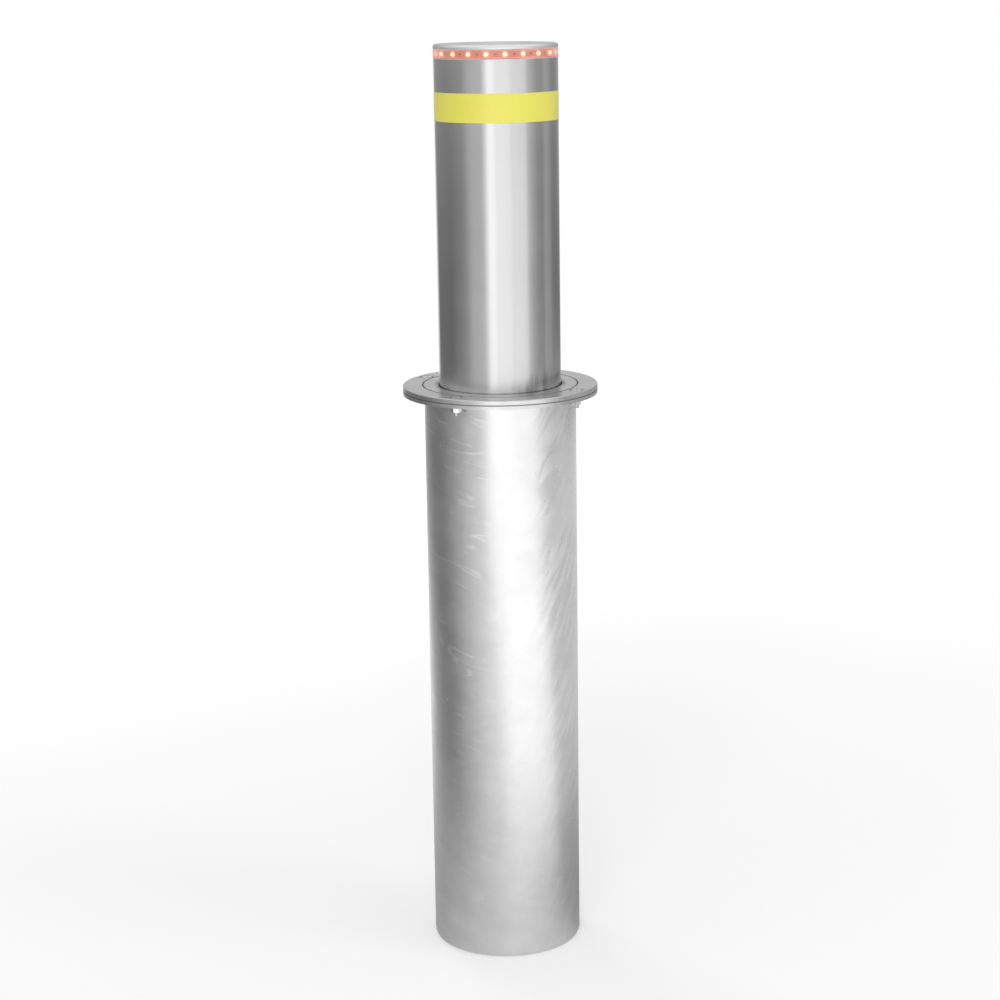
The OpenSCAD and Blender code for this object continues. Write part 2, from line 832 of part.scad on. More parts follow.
// The block that closes the ram's upper end and carries its oil port
module ram_head() {
    color(steel) difference() {
        union() {
            translate([0, 0, ram_head_z]) cylinder(r = ram_head_r, h = ram_head_t);
            translate([0, 0, ram_head_z - ram_spigot])
                cylinder(r = ram_r - seat_gap, h = ram_spigot + over);
        }
        half_step_circle(head_bolts, head_bolt_r, head_plate_top - head_bolt_l - over)
            cylinder(r = head_bolt_d / 2 + bolt_gap, h = head_bolt_l);
    }
}

module ram_head_bolts() {
    color(bright) half_step_circle(head_bolts, head_bolt_r, head_plate_top)
        hex_bolt(head_bolt_d, head_bolt_l);
}

// The screwed gland at the ram's lower end, with a seat for the rod wiper
module ram_gland() {
    color(steel) difference() {
        union() {
            translate([0, 0, gland_z]) cylinder(r = ram_out, h = gland_rim);
            translate([0, 0, gland_z]) cylinder(r = ram_r - seat_gap, h = gland_rim + gland_l);
        }
        translate([0, 0, gland_z - over])
            cylinder(r = rod_r + ram_gap, h = gland_rim + gland_l + 2 * over);
        translate([0, 0, gland_z - over])
            cylinder(r = rod_r + rod_wiper_w + seat_gap, h = rod_wiper_h + over);
    }
}

module rod_wiper() {
    color(rubber) translate([0, 0, gland_z])
        ring(rod_r + rod_wiper_w, rod_r + ram_gap, rod_wiper_h - seat_gap);
}

// The motor's housing, with cooling grooves along it
module motor_housing() {
    color("#3c3f42") translate([unit_at, 0, motor_z]) difference() {
        cylinder(d = motor_d, h = motor_l);
        circle_of(groove_count, 0, motor_d / 2, groove_end)
            cylinder(r = groove_r, h = motor_l - 2 * groove_end);
    }
}

module motor_end_cap() {
    color(steel) difference() {
        translate([unit_at, 0, motor_z + motor_l])
            cylinder(r = motor_d / 2 - motor_cap_inset, h = motor_cap_l);
        for (side = [-1, 1])
            translate([unit_at, side * unit_screw_at, head_plate_top - unit_screw_l - over])
                cylinder(r = unit_screw_d / 2 + bolt_gap, h = unit_screw_l);
    }
}

module unit_screws() {
    color(bright) for (side = [-1, 1])
        translate([unit_at, side * unit_screw_at, head_plate_top])
            hex_bolt(unit_screw_d, unit_screw_l);
}

module pump_body() {
    color(steel) translate([unit_at, 0, pump_z]) union() {
        translate([-pump_w / 2, -pump_w / 2, 0]) cube([pump_w, pump_w, pump_h - pump_flange_t]);
        translate([0, 0, pump_h - pump_flange_t - over])
            cylinder(r = motor_d / 2 - pump_flange_inset, h = pump_flange_t + over);
    }
}

// The block that carries the valves and the pipe ports
module valve_block() {
    color(bright) difference() {
        translate([unit_at - valve_l / 2, -valve_w / 2, valve_z]) cube([valve_l, valve_w, valve_h]);
        translate([unit_at, 0, valve_z - over])
            cylinder(r = valve_stem_d / 2 + seat_gap, h = valve_stem_l + over);
        translate([relief_at, -valve_w / 2 - over, pressure_z]) rotate([-90, 0, 0])
            cylinder(r = relief_stem_r + seat_gap, h = relief_hex_h + over);
    }
}

module solenoid_valve() {
    below = coil_h + coil_gap + valve_stem_end;
    color(bright) translate([unit_at, 0, valve_z - below])
        cylinder(d = valve_stem_d, h = below + valve_stem_l);
}

module solenoid_coil() {
    color("#1f1f21") translate([unit_at, 0, valve_z - coil_h - coil_gap])
        ring(coil_d / 2, valve_stem_d / 2 + seat_gap, coil_h);
}

// The relief valve's cartridge in the block's side
module relief_valve() {
    color(steel) translate([relief_at, -valve_w / 2, pressure_z]) rotate([90, 0, 0]) {
        hex_body(relief_d, relief_hex_h);
        translate([0, 0, over - relief_hex_h]) cylinder(r = relief_stem_r, h = relief_hex_h);
    }
}

module oil_tank() {
    tank_r = tank_d / 2;
    color(steel) translate([-tank_at, 0, tank_z]) difference() {
        cylinder(r = tank_r, h = tank_l);
        translate([0, 0, tank_wall]) cylinder(r = tank_r - tank_wall, h = tank_l - 2 * tank_wall);
        translate([0, 0, tank_l - tank_wall - over])
            cylinder(r = filler_d / 2 + seat_gap, h = tank_wall + 2 * over);
    }
}

// The filler neck, which comes up through the head plate
module tank_filler() {
    neck = head_plate_t + tank_wall + filler_dip;
    neck_r = filler_d / 2;
    color(bright) translate([-tank_at, 0, head_plate_top]) difference() {
        union() {
            translate([0, 0, -neck]) cylinder(r = neck_r, h = neck + over);
            cylinder(r = neck_r + filler_rim, h = filler_h);
        }
        translate([0, 0, -neck - over]) cylinder(r = neck_r - filler_wall, h = neck);
    }
}

// A pipe bent round the ram from the tank to the valve block, at one side of it
module bent_pipe(side, z) {
    inner = unit_at - pipe_r;
    reach = tank_d / 2 + pipe_gap;
    block_angle = asin((valve_w / 2 + pipe_gap) / inner);
    tank_angle = acos((pow(tank_at, 2) + pow(inner, 2) - pow(reach, 2)) / (2 * tank_at * inner));
    start = side > 0 ? block_angle : 180 + tank_angle;
    translate([0, 0, z]) rotate([0, 0, start]) rotate_extrude(angle = 180 - block_angle - tank_angle)
        translate([unit_at, 0]) circle(r = pipe_r);
}

module suction_pipe() {
    color(bright) bent_pipe(1, suction_z);
}

module return_pipe() {
    color(bright) bent_pipe(-1, return_z);
}

// The pressure pipe from the valve block up to the ram's head
module pressure_pipe() {
    run = sqrt(pow(pressure_in, 2) + pow(pressure_y, 2)) - ram_head_r - pipe_gap;
    towards_ram = 180 + atan2(pressure_y, pressure_in);
    color(bright) union() {
        translate([pressure_in, -valve_w / 2 - seat_gap, pressure_z]) rotate([90, 0, 0])
            cylinder(r = pipe_r, h = -pressure_y - valve_w / 2 - seat_gap);
        translate([pressure_in, pressure_y, pressure_z]) sphere(r = elbow_r);
        translate([pressure_in, pressure_y, pressure_z]) cylinder(r = pipe_r, h = pressure_top - pressure_z);
        translate([pressure_in, pressure_y, pressure_top]) sphere(r = elbow_r);
        translate([pressure_in, pressure_y, pressure_top]) rotate([0, 90, towards_ram])
            cylinder(r = pipe_r, h = run);
    }
}

casing_tube();
base_plate();
casing_flange();
cover_flange();
wiper_ring();
wiper_ring_screws();
wiper_seal();
upper_guide();
upper_guide_screws();
flange_screws();
flange_washers();
flange_nuts();
guide_rails();
buffer_posts();
landing_buffers();
rod_foot();
rod_foot_bolts();
rod_pin();
piston_rod();
piston();
piston_seals();
piston_nut();
cable_socket();
column_tube();
top_cap();
cap_screws();
head_plate();
light_ring();
lens_gaskets();
led_strip();
leds();
reflective_band();
bottom_ring();
guide_shoes();
rail_forks();
shoe_screws();
ram_barrel();
ram_head();
ram_head_bolts();
ram_gland();
rod_wiper();
motor_housing();
motor_end_cap();
unit_screws();
pump_body();
valve_block();
solenoid_coil();
solenoid_valve();
relief_valve();
oil_tank();
tank_filler();
suction_pipe();
return_pipe();
pressure_pipe();
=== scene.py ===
import bpy
import numpy as np
from mathutils import Matrix, Vector


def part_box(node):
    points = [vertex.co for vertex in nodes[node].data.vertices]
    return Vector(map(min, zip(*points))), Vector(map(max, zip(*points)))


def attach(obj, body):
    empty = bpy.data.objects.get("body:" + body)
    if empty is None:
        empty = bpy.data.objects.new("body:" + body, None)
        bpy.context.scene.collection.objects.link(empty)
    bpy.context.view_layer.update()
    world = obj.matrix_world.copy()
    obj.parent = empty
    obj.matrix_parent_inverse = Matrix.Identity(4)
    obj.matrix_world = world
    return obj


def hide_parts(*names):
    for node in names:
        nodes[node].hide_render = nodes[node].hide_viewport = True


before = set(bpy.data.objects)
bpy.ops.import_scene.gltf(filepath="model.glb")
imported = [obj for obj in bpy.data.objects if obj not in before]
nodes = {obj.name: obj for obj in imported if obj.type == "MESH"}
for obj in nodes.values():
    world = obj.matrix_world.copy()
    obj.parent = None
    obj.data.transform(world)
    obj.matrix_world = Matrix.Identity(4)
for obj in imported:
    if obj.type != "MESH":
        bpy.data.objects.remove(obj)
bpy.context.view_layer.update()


# Casing tube: a rolled steel tube about 273 mm across, sunk in the ground in use.
# It is dipped in molten zinc, which leaves clouds, faint crystals and long marks where the zinc ran off.

def add(tree, kind, inputs=(), **settings):
    """Adds one shader node with its settings. Inputs pair a socket with a value or another node's output."""
    made = tree.nodes.new("ShaderNode" + kind)
    for key, value in settings.items():
        setattr(made, key, value)
    for socket, value in dict(inputs).items():
        if isinstance(value, bpy.types.NodeSocket):
            tree.links.new(value, made.inputs[socket])
        else:
            made.inputs[socket].default_value = value
    return made


def calc(tree, operation, *values):
    """One step of arithmetic on numbers or sockets."""
    return add(tree, "Math", dict(enumerate(values)), operation=operation).outputs[0]


def times(tree, first, second):
    """The product of two numbers or sockets."""
    return calc(tree, "MULTIPLY", first, second)


def plus(tree, first, second):
    """The sum of two numbers or sockets."""
    return calc(tree, "ADD", first, second)


def minus(tree, first, second):
    """The first number or socket less the second."""
    return calc(tree, "SUBTRACT", first, second)


def gap(tree, first, second):
    """How far two numbers lie apart."""
    return calc(tree, "ABSOLUTE", minus(tree, first, second))


def apart(tree, place):
    """The x, y and z of a place."""
    return add(tree, "SeparateXYZ", {0: place}).outputs


def joined(tree, *parts):
    """A place with that x and y, and z if it is given."""
    return add(tree, "CombineXYZ", dict(enumerate(parts))).outputs[0]


def length(tree, place):
    """The distance of a place from the origin."""
    return add(tree, "VectorMath", {0: place}, operation="LENGTH").outputs["Value"]


def noise(tree, place, scale, detail=2.0, **more):
    """Soft noise from 0 to 1, with about that many blotches in a metre."""
    return add(tree, "TexNoise", {"Vector": place, "Scale": scale, "Detail": detail, **more}).outputs[0]


def between(tree, share, low, high):
    """The number that lies a share of the way from low to high."""
    return add(tree, "Mix", {0: share, 2: low, 3: high}).outputs[0]


def tint(tree, share, first, second):
    """The colour that lies a share of the way from the first to the second."""
    return add(tree, "Mix", {0: share, 6: first, 7: second}, data_type="RGBA").outputs[2]


def window(tree, value, start, end):
    """A soft step: 0 where the value is at start, 1 where it is at end."""
    return add(tree, "MapRange", {0: value, 1: start, 2: end}, interpolation_type="SMOOTHSTEP").outputs[0]


def grey(value):
    """A neutral colour of that lightness."""
    return (value, value, value, 1.0)


def effect(name, takes, gives):
    """A shader node group with named sockets: its tree, what comes in and what goes out."""
    tree = bpy.data.node_groups.new(name, "ShaderNodeTree")
    for label, kind, value in takes:
        socket = tree.interface.new_socket(label, in_out="INPUT", socket_type="NodeSocket" + kind)
        if value is not None:
            socket.default_value = value
    for label in gives:
        tree.interface.new_socket(label, in_out="OUTPUT", socket_type="NodeSocketFloat")
    return tree, tree.nodes.new("NodeGroupInput").outputs, tree.nodes.new("NodeGroupOutput").inputs


def use(tree, group, place, **values):
    """Places an effect in a material at the piece's coordinates, with its own values."""
    return add(tree, "Group", {"Vector": place, **values}, node_tree=group).outputs


def start_material(name, **fixed):
    """A material with one Principled shader whose plain sockets are set, and the piece's own coordinates."""
    material = bpy.data.materials.new(name)
    material.use_nodes = True
    tree = material.node_tree
    shader = tree.nodes["Principled BSDF"]
    for socket, value in fixed.items():
        shader.inputs[socket.replace("_", " ")].default_value = value
    return material, tree, shader.inputs, add(tree, "TexCoord").outputs["Object"]


def colour(tree, sockets, share, first, second, socket="Base Color"):
    """Feeds the shader a colour that lies a share of the way from the first to the second."""
    tree.links.new(tint(tree, share, first, second), sockets[socket])


def roughness(tree, sockets, share, low, high):
    """Feeds the shader a roughness that lies a share of the way from low to high."""
    tree.links.new(between(tree, share, low, high), sockets["Roughness"])


def raise_surface(tree, sockets, height, distance):
    """Feeds a height in units of distance, in metres, to the shader's normal."""
    bump = add(tree, "Bump", {"Height": height, "Distance": distance, "Strength": 1.0})
    tree.links.new(bump.outputs[0], sockets["Normal"])


def dress(material, *names):
    """Puts the material on solids of the frame."""
    for name in names:
        for slot in nodes[name].material_slots:
            slot.material = material


def make_flow_marks():
    """Noise drawn out along helices: it turns about the axis by lean radians for each metre of height."""
    takes = [
        ("Vector", "Vector", None),
        ("Lean", "Float", 4.4),
        ("Fineness", "Float", 60.0),
        ("Stretch", "Float", 8.0),
        ("Roughness", "Float", 0.55),
    ]
    ridge_width = 0.035
    tree, given, out = effect("flow_marks", takes, ["Value", "Ridge"])
    height = apart(tree, given["Vector"])[2]
    turn = times(tree, height, times(tree, given["Lean"], -1.0))
    turned = add(tree, "VectorRotate", {"Vector": given["Vector"], "Angle": turn}, rotation_type="Z_AXIS")
    x, y, z = apart(tree, turned.outputs[0])
    drawn = joined(tree, x, y, calc(tree, "DIVIDE", z, given["Stretch"]))
    value = noise(tree, drawn, given["Fineness"], 4.0, Roughness=given["Roughness"], Distortion=0.35)
    tree.links.new(value, out["Value"])
    tree.links.new(window(tree, gap(tree, value, 0.5), ridge_width, 0.0), out["Ridge"])
    return tree


def make_zinc_bloom():
    """Clouds of broad noise, and the grey of crystals taken from Voronoi cells with wavering borders."""
    takes = [("Vector", "Vector", None), ("Size", "Float", 0.02)]
    tree, given, out = effect("zinc_bloom", takes, ["Cloud", "Crystal"])
    place = given["Vector"]
    broad, fine, single = (calc(tree, "DIVIDE", part, given["Size"]) for part in (0.35, 2.0, 1.0))
    cloud = noise(tree, place, broad, 5.0, Roughness=0.6)
    waver = add(tree, "TexNoise", {"Vector": place, "Scale": fine}).outputs[1]
    shift = add(tree, "VectorMath", {0: waver, "Scale": 0.004}, operation="SCALE").outputs[0]
    moved = add(tree, "VectorMath", {0: place, 1: shift}, operation="ADD").outputs[0]
    cells = add(tree, "TexVoronoi", {"Vector": moved, "Scale": single}).outputs["Color"]
    tree.links.new(cloud, out["Cloud"])
    tree.links.new(add(tree, "SeparateColor", {0: cells}).outputs[0], out["Crystal"])
    return tree


flow_marks = make_flow_marks()
zinc_bloom = make_zinc_bloom()


def make_galvanised_casing():
    """Zinc on a large tube: marks that lean one way on the right and the other on the left, wisps, and
    painted light on the upper right.
    """
    right_side = (0.045, 0.085)
    left_side = (-0.012, -0.045)
    painted_light_height = (0.66, 0.92)
    marked_height = (0.25, 0.6)
    material, tree, sockets, place = start_material("galvanised_casing", Metallic=1.0)
    split = apart(tree, place)
    side = split[0]
    height = split[2]
    right = window(tree, side, *right_side)
    # Painted light: the upper right of the casing is lightened in its colour, standing in for reflected
    # light.
    painted_light_upper_right = times(tree, right, window(tree, height, *painted_light_height))
    marked = between(tree, window(tree, height, *marked_height), 0.25, 1.0)
    bloom = use(tree, zinc_bloom, place, Size=0.03)
    steep = use(tree, flow_marks, place, Lean=4.4, Fineness=64.0, Stretch=5.0)
    slack = use(tree, flow_marks, place, Lean=-16.0, Fineness=9.0, Stretch=0.5, Roughness=0.35)
    sparse = noise(tree, place, 22.0, 1.5)
    wisp = times(tree, slack["Ridge"], window(tree, sparse, 0.47, 0.60))
    wisp = times(tree, times(tree, wisp, marked), window(tree, side, *left_side))
    streak = noise(tree, place, 8.0, 2.0)
    streak = times(tree, window(tree, steep["Value"], 0.42, 0.58), window(tree, streak, 0.3, 0.6))
    streak = plus(tree, times(tree, minus(tree, streak, 0.35), marked), 0.35)
    mark = between(tree, right, times(tree, slack["Value"], 0.5), times(tree, streak, 0.7))
    shade = plus(tree, times(tree, mark, 0.42), times(tree, bloom["Cloud"], 0.46))
    shade = plus(tree, shade, times(tree, bloom["Crystal"], 0.04))
    shade = plus(tree, shade, times(tree, painted_light_upper_right, 0.24))
    shade = plus(tree, plus(tree, shade, 0.30), times(tree, wisp, 0.30))
    colour(tree, sockets, shade, grey(0.42), grey(0.96))
    gloss = plus(tree, times(tree, mark, 0.14), times(tree, bloom["Cloud"], 0.16))
    tree.links.new(plus(tree, gloss, 0.18), sockets["Roughness"])
    level = plus(tree, times(tree, mark, 0.5), times(tree, bloom["Cloud"], 1.4))
    raise_surface(tree, sockets, plus(tree, level, times(tree, wisp, 0.35)), 0.00035)
    return material


galvanised_casing = make_galvanised_casing()
dress(galvanised_casing, "casing_tube", "base_plate", "buffer_posts", "cable_socket")


# Welds of the casing: a fillet under the ring, one round the base plate, and one round the cable socket.
# They are steel beads laid in short steps, and the zinc bath covers them too.

def grid_faces(rows, columns, closed=True):
    """Squares between a grid's points: each row is a ring, and the last row meets the first if closed."""
    number = np.arange(rows * columns).reshape(rows, columns)
    below = np.roll(number, -1, 0)
    corners = np.stack([number, np.roll(number, -1, 1), np.roll(below, -1, 1), below], -1)
    return (corners if closed else corners[:-1]).reshape(-1, 4)


def shape(name, points, faces, smooth=True):
    """A new object whose mesh has these points and faces."""
    mesh = bpy.data.meshes.new(name)
    mesh.from_pydata(points.reshape(-1, 3), [], faces)
    if smooth:
        mesh.shade_smooth()
    made = bpy.data.objects.new(name, mesh)
    bpy.context.scene.collection.objects.link(made)
    return made


def bead(name, spine, outward, upward, half_width, height, step):
    """A weld bead: an ellipse carried along a closed spine, which swells once for each step of the torch."""
    sides = 12
    ripple = 0.10
    waver = 0.05
    number = np.arange(len(spine))
    swell = 1 + ripple * np.abs(np.sin(number * np.pi / step)) + waver * np.sin(number * 0.371)
    angles = np.linspace(0, 2 * np.pi, sides, endpoint=False)
    sideways = np.cos(angles)[None, :, None] * outward[:, None, :] * half_width
    rising = np.sin(angles)[None, :, None] * upward[:, None, :] * height
    points = spine[:, None, :] + (sideways + rising) * swell[:, None, None]
    return shape(name, points, grid_faces(len(spine), sides))


def ring_of(radius, height, count):
    """A circle round the axis, and the unit vectors that point away from the axis along it."""
    turn = np.linspace(0, 2 * np.pi, count, endpoint=False)
    away = np.stack([np.cos(turn), np.sin(turn), np.zeros(count)], -1)
    return away * radius + [0, 0, height], away


def settle(piece, body, material):
    """Hands a new piece to its body and gives it its material."""
    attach(piece, body)
    piece.data.materials.append(material)


tube_low, tube_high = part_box("casing_tube")
ring_low, ring_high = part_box("casing_flange")
tube_r = tube_high.x
weld_points = 1080
weld_step = 6

fillet = 0.0042
fillet_out = 0.0008
fillet_down = 0.0006
fillet_flat = 0.6
spine, away = ring_of(tube_r + fillet_out, ring_low.z - fillet_down, weld_points)
lift = (away + [0, 0, -1]) / np.sqrt(2)
slope = (away + [0, 0, 1]) / np.sqrt(2)
ring_weld = bead("ring_weld", spine, lift * fillet_flat, slope, fillet, fillet, weld_step)
settle(ring_weld, "casing", galvanised_casing)

base_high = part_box("base_plate")[1]
base_bead_width = 0.0022
base_bead_height = 0.0026
base_bead_out = 0.0006
base_bead_down = 0.0008
straight_up = np.tile([0.0, 0.0, 1.0], (weld_points, 1))
spine, away = ring_of(base_high.x + base_bead_out, base_high.z - base_bead_down, weld_points)
base_weld = bead("base_weld", spine, away, straight_up, base_bead_width, base_bead_height, weld_step)
settle(base_weld, "casing", galvanised_casing)

socket_low, socket_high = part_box("cable_socket")
socket_r = (socket_high.x - socket_low.x) / 2
socket_z = (socket_high.z + socket_low.z) / 2
socket_weld_r = socket_r + 0.0006
socket_weld_lift = 0.0004
socket_weld_size = 0.0034
socket_weld_points = 300
turn = np.linspace(0, 2 * np.pi, socket_weld_points, endpoint=False)
nothing = np.zeros(socket_weld_points)
edge_x = np.cos(turn) * socket_weld_r
edge_z = np.sin(turn) * socket_weld_r
edge_y = np.sqrt(tube_r ** 2 - edge_x ** 2)
spine = np.stack([edge_x, edge_y + socket_weld_lift, socket_z + edge_z], -1)
radial = np.stack([np.cos(turn), nothing, np.sin(turn)], -1)
away = np.stack([edge_x, edge_y, nothing], -1) / tube_r
socket_weld = bead("socket_weld", spine, radial, away, socket_weld_size, socket_weld_size, weld_step)
settle(socket_weld, "casing", galvanised_casing)


# Zinc drops on the casing: where the bath ran off, small round lumps froze on the tube's wall.
# They are the same zinc as the skin, one to four millimetres across. The first two show in front.

def domes(name, centres, facing, radii, height):
    """Low round lumps: each is a grid of rings that shrink by a cosine while they rise by a sine."""
    rings = 5
    sides = 12
    tip = 0.02
    sunk = 0.25 * height
    climb = np.linspace(0, np.pi / 2, rings)
    turn = np.linspace(0, 2 * np.pi, sides, endpoint=False)
    sideways = np.cross([0.0, 0.0, 1.0], facing)
    sideways /= np.linalg.norm(sideways, axis=1, keepdims=True)
    upward = np.cross(facing, sideways)
    shrink = np.cos(climb) + tip
    rise = np.sin(climb) * height - sunk
    flat = (np.cos(turn)[None, None, :, None] * sideways[:, None, None, :]
            + np.sin(turn)[None, None, :, None] * upward[:, None, None, :])
    size = radii[:, None, None, None]
    points = (centres[:, None, None, :] + flat * shrink[None, :, None, None] * size
              + facing[:, None, None, :] * rise[None, :, None, None] * size)
    lumps = len(centres)
    number = np.arange(lumps * rings * sides).reshape(lumps, rings, sides)
    beside = np.roll(number, -1, 2)
    sheets = np.stack([number[:, :-1], beside[:, :-1], beside[:, 1:], number[:, 1:]], -1).reshape(-1, 4)
    return shape(name, points, sheets.tolist() + number[:, -1].tolist() + number[:, 0, ::-1].tolist())


chance = np.random.default_rng(7)
drop_count = 70
drop_lowest = tube_low.z + 0.02
drop_highest = ring_low.z - 0.03
drop_smallest = 0.0005
drop_largest = 0.0011
drop_rise = 0.6
turn = chance.uniform(0, 2 * np.pi, drop_count)
turn[:2] = np.radians([-33.0, -29.0])
height = chance.uniform(drop_lowest, drop_highest, drop_count)
height[:2] = [0.470, 0.335]
drop_size = chance.uniform(drop_smallest, drop_largest, drop_count)
drop_size[:2] = [0.0019, 0.0016]
drop_facing = np.stack([np.cos(turn), np.sin(turn), np.zeros(drop_count)], -1)
drop_centres = drop_facing * tube_r + height[:, None] * [0.0, 0.0, 1.0]
zinc_drops = domes("zinc_drops", drop_centres, drop_facing, drop_size, drop_rise)


def make_fresh_zinc():
    """Bright zinc with a fine pitted skin."""
    material, tree, sockets, place = start_material("fresh_zinc", Metallic=1.0)
    bloom = use(tree, zinc_bloom, place, Size=0.004)
    colour(tree, sockets, bloom["Cloud"], grey(0.66), grey(0.95))
    roughness(tree, sockets, bloom["Crystal"], 0.22, 0.36)
    raise_surface(tree, sockets, bloom["Cloud"], 0.0001)
    return material


fresh_zinc = make_fresh_zinc()
settle(zinc_drops, "casing", fresh_zinc)


# Ground ring: two 8 mm plates, one welded to the casing and one bolted on top, with a flush inner ring.
# All three are galvanised plate, worn semi-gloss.
# Painted shade darkens the seam, the joint between the plates, the rings round the screws and the column's
# foot, in uneven patches.

inner_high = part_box("wiper_ring")[1]
seam_r = inner_high.x + 0.0003
foot_r = 0.1115
joint_z = ring_high.z - 0.0008
screw_ring_r = 0.155
screw_turns = np.radians([-30.0, 60.0, 150.0, 240.0])


def make_galvanised_ring():
    """Plate zinc: clouds, crystals and scuffs, with painted shade by the seam, the foot, the joint and the
    screws.
    """
    seam_reach = (0.0022, 0.0004)
    foot_reach = (foot_r + 0.010, foot_r + 0.001)
    joint_reach = (0.0016, 0.0004)
    screw_reach = (0.0165, 0.0105)
    painted_shade_colour = (0.07, 0.068, 0.062, 1.0)
    material, tree, sockets, place = start_material("galvanised_ring", Metallic=1.0)
    x, y, z = apart(tree, place)
    radius = length(tree, joined(tree, x, y))
    bloom = use(tree, zinc_bloom, place, Size=0.016)
    scuff = use(tree, flow_marks, place, Lean=0.0, Fineness=140.0, Stretch=0.6)["Value"]
    speck = noise(tree, place, 160.0, 2.0)
    near_seam = window(tree, gap(tree, radius, seam_r), *seam_reach)
    near_foot = window(tree, radius, *foot_reach)
    near_joint = window(tree, gap(tree, z, joint_z), *joint_reach)
    turn = calc(tree, "ARCTAN2", y, x)
    quarter = calc(tree, "WRAP", turn, screw_turns[1] + np.pi / 4, screw_turns[1] - np.pi / 4)
    aside = times(tree, minus(tree, quarter, screw_turns[1]), screw_ring_r)
    outward = minus(tree, radius, screw_ring_r)
    near_screw = window(tree, length(tree, joined(tree, outward, aside)), *screw_reach)
    # Painted shade: dark uneven patches at the seam, the column's foot, the joint between the plates and
    # round the screws.
    painted_dark = times(tree, near_seam, window(tree, speck, 0.2, 0.5))
    for extra in (
        times(tree, near_screw, window(tree, speck, 0.15, 0.75)),
        times(tree, near_foot, window(tree, bloom["Cloud"], 0.25, 0.85)),
        times(tree, near_joint, 0.75),
    ):
        painted_dark = calc(tree, "MAXIMUM", painted_dark, extra)
    shade = plus(tree, times(tree, bloom["Cloud"], 0.5), times(tree, bloom["Crystal"], 0.12))
    shade = plus(tree, shade, times(tree, scuff, 0.35))
    colour(tree, sockets, painted_dark, tint(tree, shade, grey(0.48), grey(0.88)), painted_shade_colour)
    gloss = plus(tree, times(tree, scuff, 0.2), times(tree, painted_dark, 0.3))
    tree.links.new(plus(tree, gloss, 0.22), sockets["Roughness"])
    raise_surface(tree, sockets, plus(tree, bloom["Cloud"], times(tree, scuff, 0.4)), 0.00025)
    return material


dress(make_galvanised_ring(), "casing_flange", "cover_flange", "wiper_ring")


# Screws and nuts: zinc plated steel, four M10 countersunk screws with hexagon sockets through both plates.
# Their threaded ends carry washers and nuts below the ring.
# Smaller screws hold the inner ring and the guides.

def make_zinc_screws():
    """Bright plating: soft clouds in the colour and the normal, and crystals in the roughness."""
    material, tree, sockets, place = start_material("zinc_screws", Metallic=1.0)
    bloom = use(tree, zinc_bloom, place, Size=0.006)
    colour(tree, sockets, bloom["Cloud"], (0.62, 0.62, 0.61, 1.0), (0.92, 0.92, 0.90, 1.0))
    roughness(tree, sockets, bloom["Crystal"], 0.2, 0.34)
    raise_surface(tree, sockets, bloom["Cloud"], 0.00008)
    return material


zinc_screws = make_zinc_screws()
dress(zinc_screws, "flange_washers", "flange_nuts", "wiper_ring_screws", "upper_guide_screws", "shoe_screws")
dress(zinc_screws, "rod_foot_bolts", "rod_pin", "piston_nut", "ram_head_bolts")
dress(zinc_screws, "unit_screws", "solenoid_valve", "relief_valve")

screw_low, screw_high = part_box("flange_screws")
screw_r = 0.005
screw_pitch = 0.0015
thread_depth = 0.0009
plain_neck = 0.004
end_r = 0.0039
head_r = 2 * screw_r
head_edge = 0.0003
key_r = 0.003
key_edge = 0.0004
key_depth = 0.0029


def repeated(faces, points, copies):
    """The faces of a piece with that many points, numbered on for each of its copies."""
    return (faces + np.arange(copies)[:, None, None] * points).reshape(-1, 4)


def socket_screws(name, centres, top, bottom):
    """Countersunk screws: a turned profile whose shank follows a helix, with hexagons for its socket."""
    sides = 48
    thread_rows = 170
    tip_r = 0.0001
    turn = np.linspace(0, 2 * np.pi, sides, endpoint=False)
    even = np.ones(sides)
    hexagon = 1 / np.cos((turn + np.pi / 6) % (np.pi / 3) - np.pi / 6)
    neck = top - screw_r
    floor = top - key_depth
    heights = np.linspace(bottom + 0.0005, neck - plain_neck, thread_rows)
    phase = (heights[:, None] / screw_pitch - turn[None, :] / (2 * np.pi)) % 1
    thread = screw_r - thread_depth * np.abs(phase - 0.5) * 2
    rows = [
        (bottom, even * tip_r),
        (bottom, even * end_r),
        *zip(heights, thread),
        (neck - plain_neck + 0.0005, even * screw_r),
        (neck, even * screw_r),
        (top - head_edge, even * (head_r - head_edge)),
        (top, even * (head_r - 0.0005)),
        (top, even * (head_r - 0.0012)),
        (top, hexagon * (key_r + key_edge)),
        (top - head_edge, hexagon * key_r),
        (floor, hexagon * key_r),
        (floor - 0.0005, even * tip_r),
    ]
    level = np.array([row[0] for row in rows])[:, None]
    radius = np.stack([row[1] for row in rows])
    screw = np.stack([radius * np.cos(turn), radius * np.sin(turn), np.broadcast_to(level, radius.shape)], -1)
    screw = screw[:, ::-1].reshape(-1, 3)
    faces = repeated(grid_faces(len(rows), sides, closed=False), len(screw), len(centres))
    made = shape(name, screw + centres[:, None], faces)
    made.data.set_sharp_from_angle(angle=np.radians(35))
    return made


centres = np.stack([np.cos(screw_turns), np.sin(screw_turns), screw_turns * 0], -1) * screw_ring_r
ring_screws = socket_screws("ring_screws", centres, screw_high.z, screw_low.z)
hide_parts("flange_screws")
settle(ring_screws, "casing", zinc_screws)


# Rubber: the wiper that scrapes the column, the landing buffers and the seals, moulded in black nitrile.
# The thin gaskets above and below the clear ring are pale silicone, with a painted red glow for the diodes'
# light on them.

def make_black_rubber():
    """Matt black with fine pitting and a pale dust in patches."""
    material, tree, sockets, place = start_material("black_rubber")
    pits = noise(tree, place, 900.0, 3.0)
    dust = window(tree, noise(tree, place, 60.0, 4.0), 0.45, 0.75)
    colour(tree, sockets, dust, grey(0.012), (0.055, 0.053, 0.05, 1.0))
    roughness(tree, sockets, pits, 0.55, 0.8)
    raise_surface(tree, sockets, pits, 0.00005)
    return material


